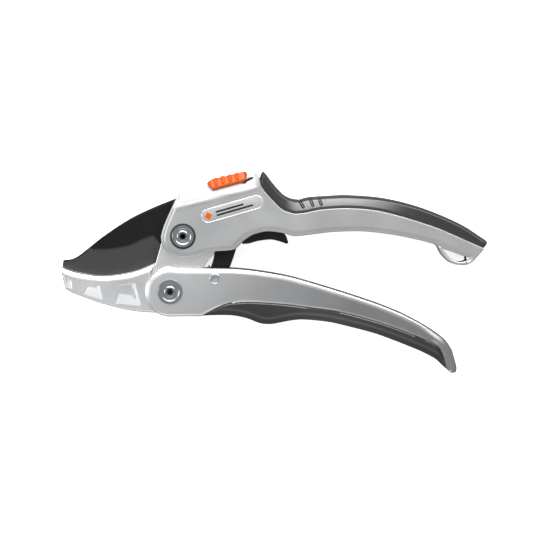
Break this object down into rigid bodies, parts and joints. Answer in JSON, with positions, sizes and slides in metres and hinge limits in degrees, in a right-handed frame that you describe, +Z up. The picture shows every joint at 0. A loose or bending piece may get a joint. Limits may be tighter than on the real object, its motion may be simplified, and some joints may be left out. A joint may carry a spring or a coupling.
{
  "type": "pruning shears",
  "caption": "Hand pruning shears with a black coated blade closing on a cast anvil, cast handles with soft pads, a thumb lock and a hanging eyelet.",
  "frame": {"origin": "middle of the closed shears' box, on the surface that they lie on", "axes": "+X towards the handles' tails, +Y from the lower handle to the upper one, +Z up through the thickness"},
  "size_m": [0.2132, 0.1008, 0.0196],
  "materials": {
    "cast_bright": "bright cast aluminium, lightly polished",
    "cast_satin": "satin silver casting with a fine grain",
    "cast_smooth": "smooth silver casting, semi-gloss",
    "soft_pad": "dark grey soft rubber, satin sheen",
    "badge_face": "pale glossy plate, blank",
    "bolt_steel": "turned bright steel",
    "ring_black": "black spacer ring",
    "bush_bronze": "plain bearing bronze",
    "washer_steel": "ground thin steel",
    "blade_coating": "black non-stick coating on steel",
    "strut_coating": "dark grey coating on steel",
    "spring_steel": "blackened spring wire",
    "lock_orange": "orange moulded plastic",
    "trigger_black": "black moulded plastic"
  },
  "bodies": {
    "frame": {"anvil_body": "cast_bright", "anvil_plate": "cast_bright", "upper_handle": "cast_satin", "upper_grip": "soft_pad", "badge": "badge_face", "main_bolt": "bolt_steel", "main_bolt_ring": "ring_black", "main_nut": "bolt_steel", "main_bush": "bush_bronze", "blade_washers": "washer_steel", "frame_dowels": "washer_steel", "lower_bolt": "bolt_steel", "lower_nut": "bolt_steel", "lower_bush": "bush_bronze", "lower_washers": "washer_steel", "lock_spring": "washer_steel", "trigger_pin": "washer_steel", "trigger_spring": "spring_steel"},
    "lower_lever": {"lower_handle": "cast_smooth", "lower_grip": "soft_pad", "strut_pin": "bolt_steel", "strut_spring": "spring_steel"},
    "blade_arm": {"blade": "blade_coating"},
    "strut_link": {"ratchet_strut": "strut_coating"},
    "lock": {"lock_slider": "lock_orange", "lock_tongue": "washer_steel"},
    "trigger": {"release_trigger": "trigger_black"}
  },
  "joints": [
    {"name": "handle_pivot", "type": "hinge", "parent": "frame", "child": "lower_lever", "pos_m": [-0.05208, -0.00965, 0.0088], "axis": [0, 0, 1], "range_deg": [-32, 0]},
    {"name": "blade_pivot", "type": "hinge", "parent": "frame", "child": "blade_arm", "pos_m": [-0.04573, 0.01795, 0.0088], "axis": [0, 0, 1], "range_deg": [-32, 0]},
    {"name": "strut_pivot", "type": "hinge", "parent": "lower_lever", "child": "strut_link", "pos_m": [-0.02978, -0.00309, 0.0088], "axis": [0, 0, 1], "range_deg": [0, 32]},
    {"name": "lock_slide", "type": "slide", "parent": "frame", "child": "lock", "axis": [0.9789, 0.2045, 0], "range_m": [0, 0.0035]},
    {"name": "trigger_pivot", "type": "hinge", "parent": "frame", "child": "trigger", "pos_m": [-0.01273, 0.02195, 0.0088], "axis": [0, 0, 1], "range_deg": [0, 8], "stiffness_Nm_per_rad": 0.02, "springref_deg": -17.19}
  ],
  "couplings": [
    {"joint": "blade_pivot", "follows": "handle_pivot", "ratio": 1},
    {"joint": "strut_pivot", "follows": "handle_pivot", "ratio": -1}
  ]
}
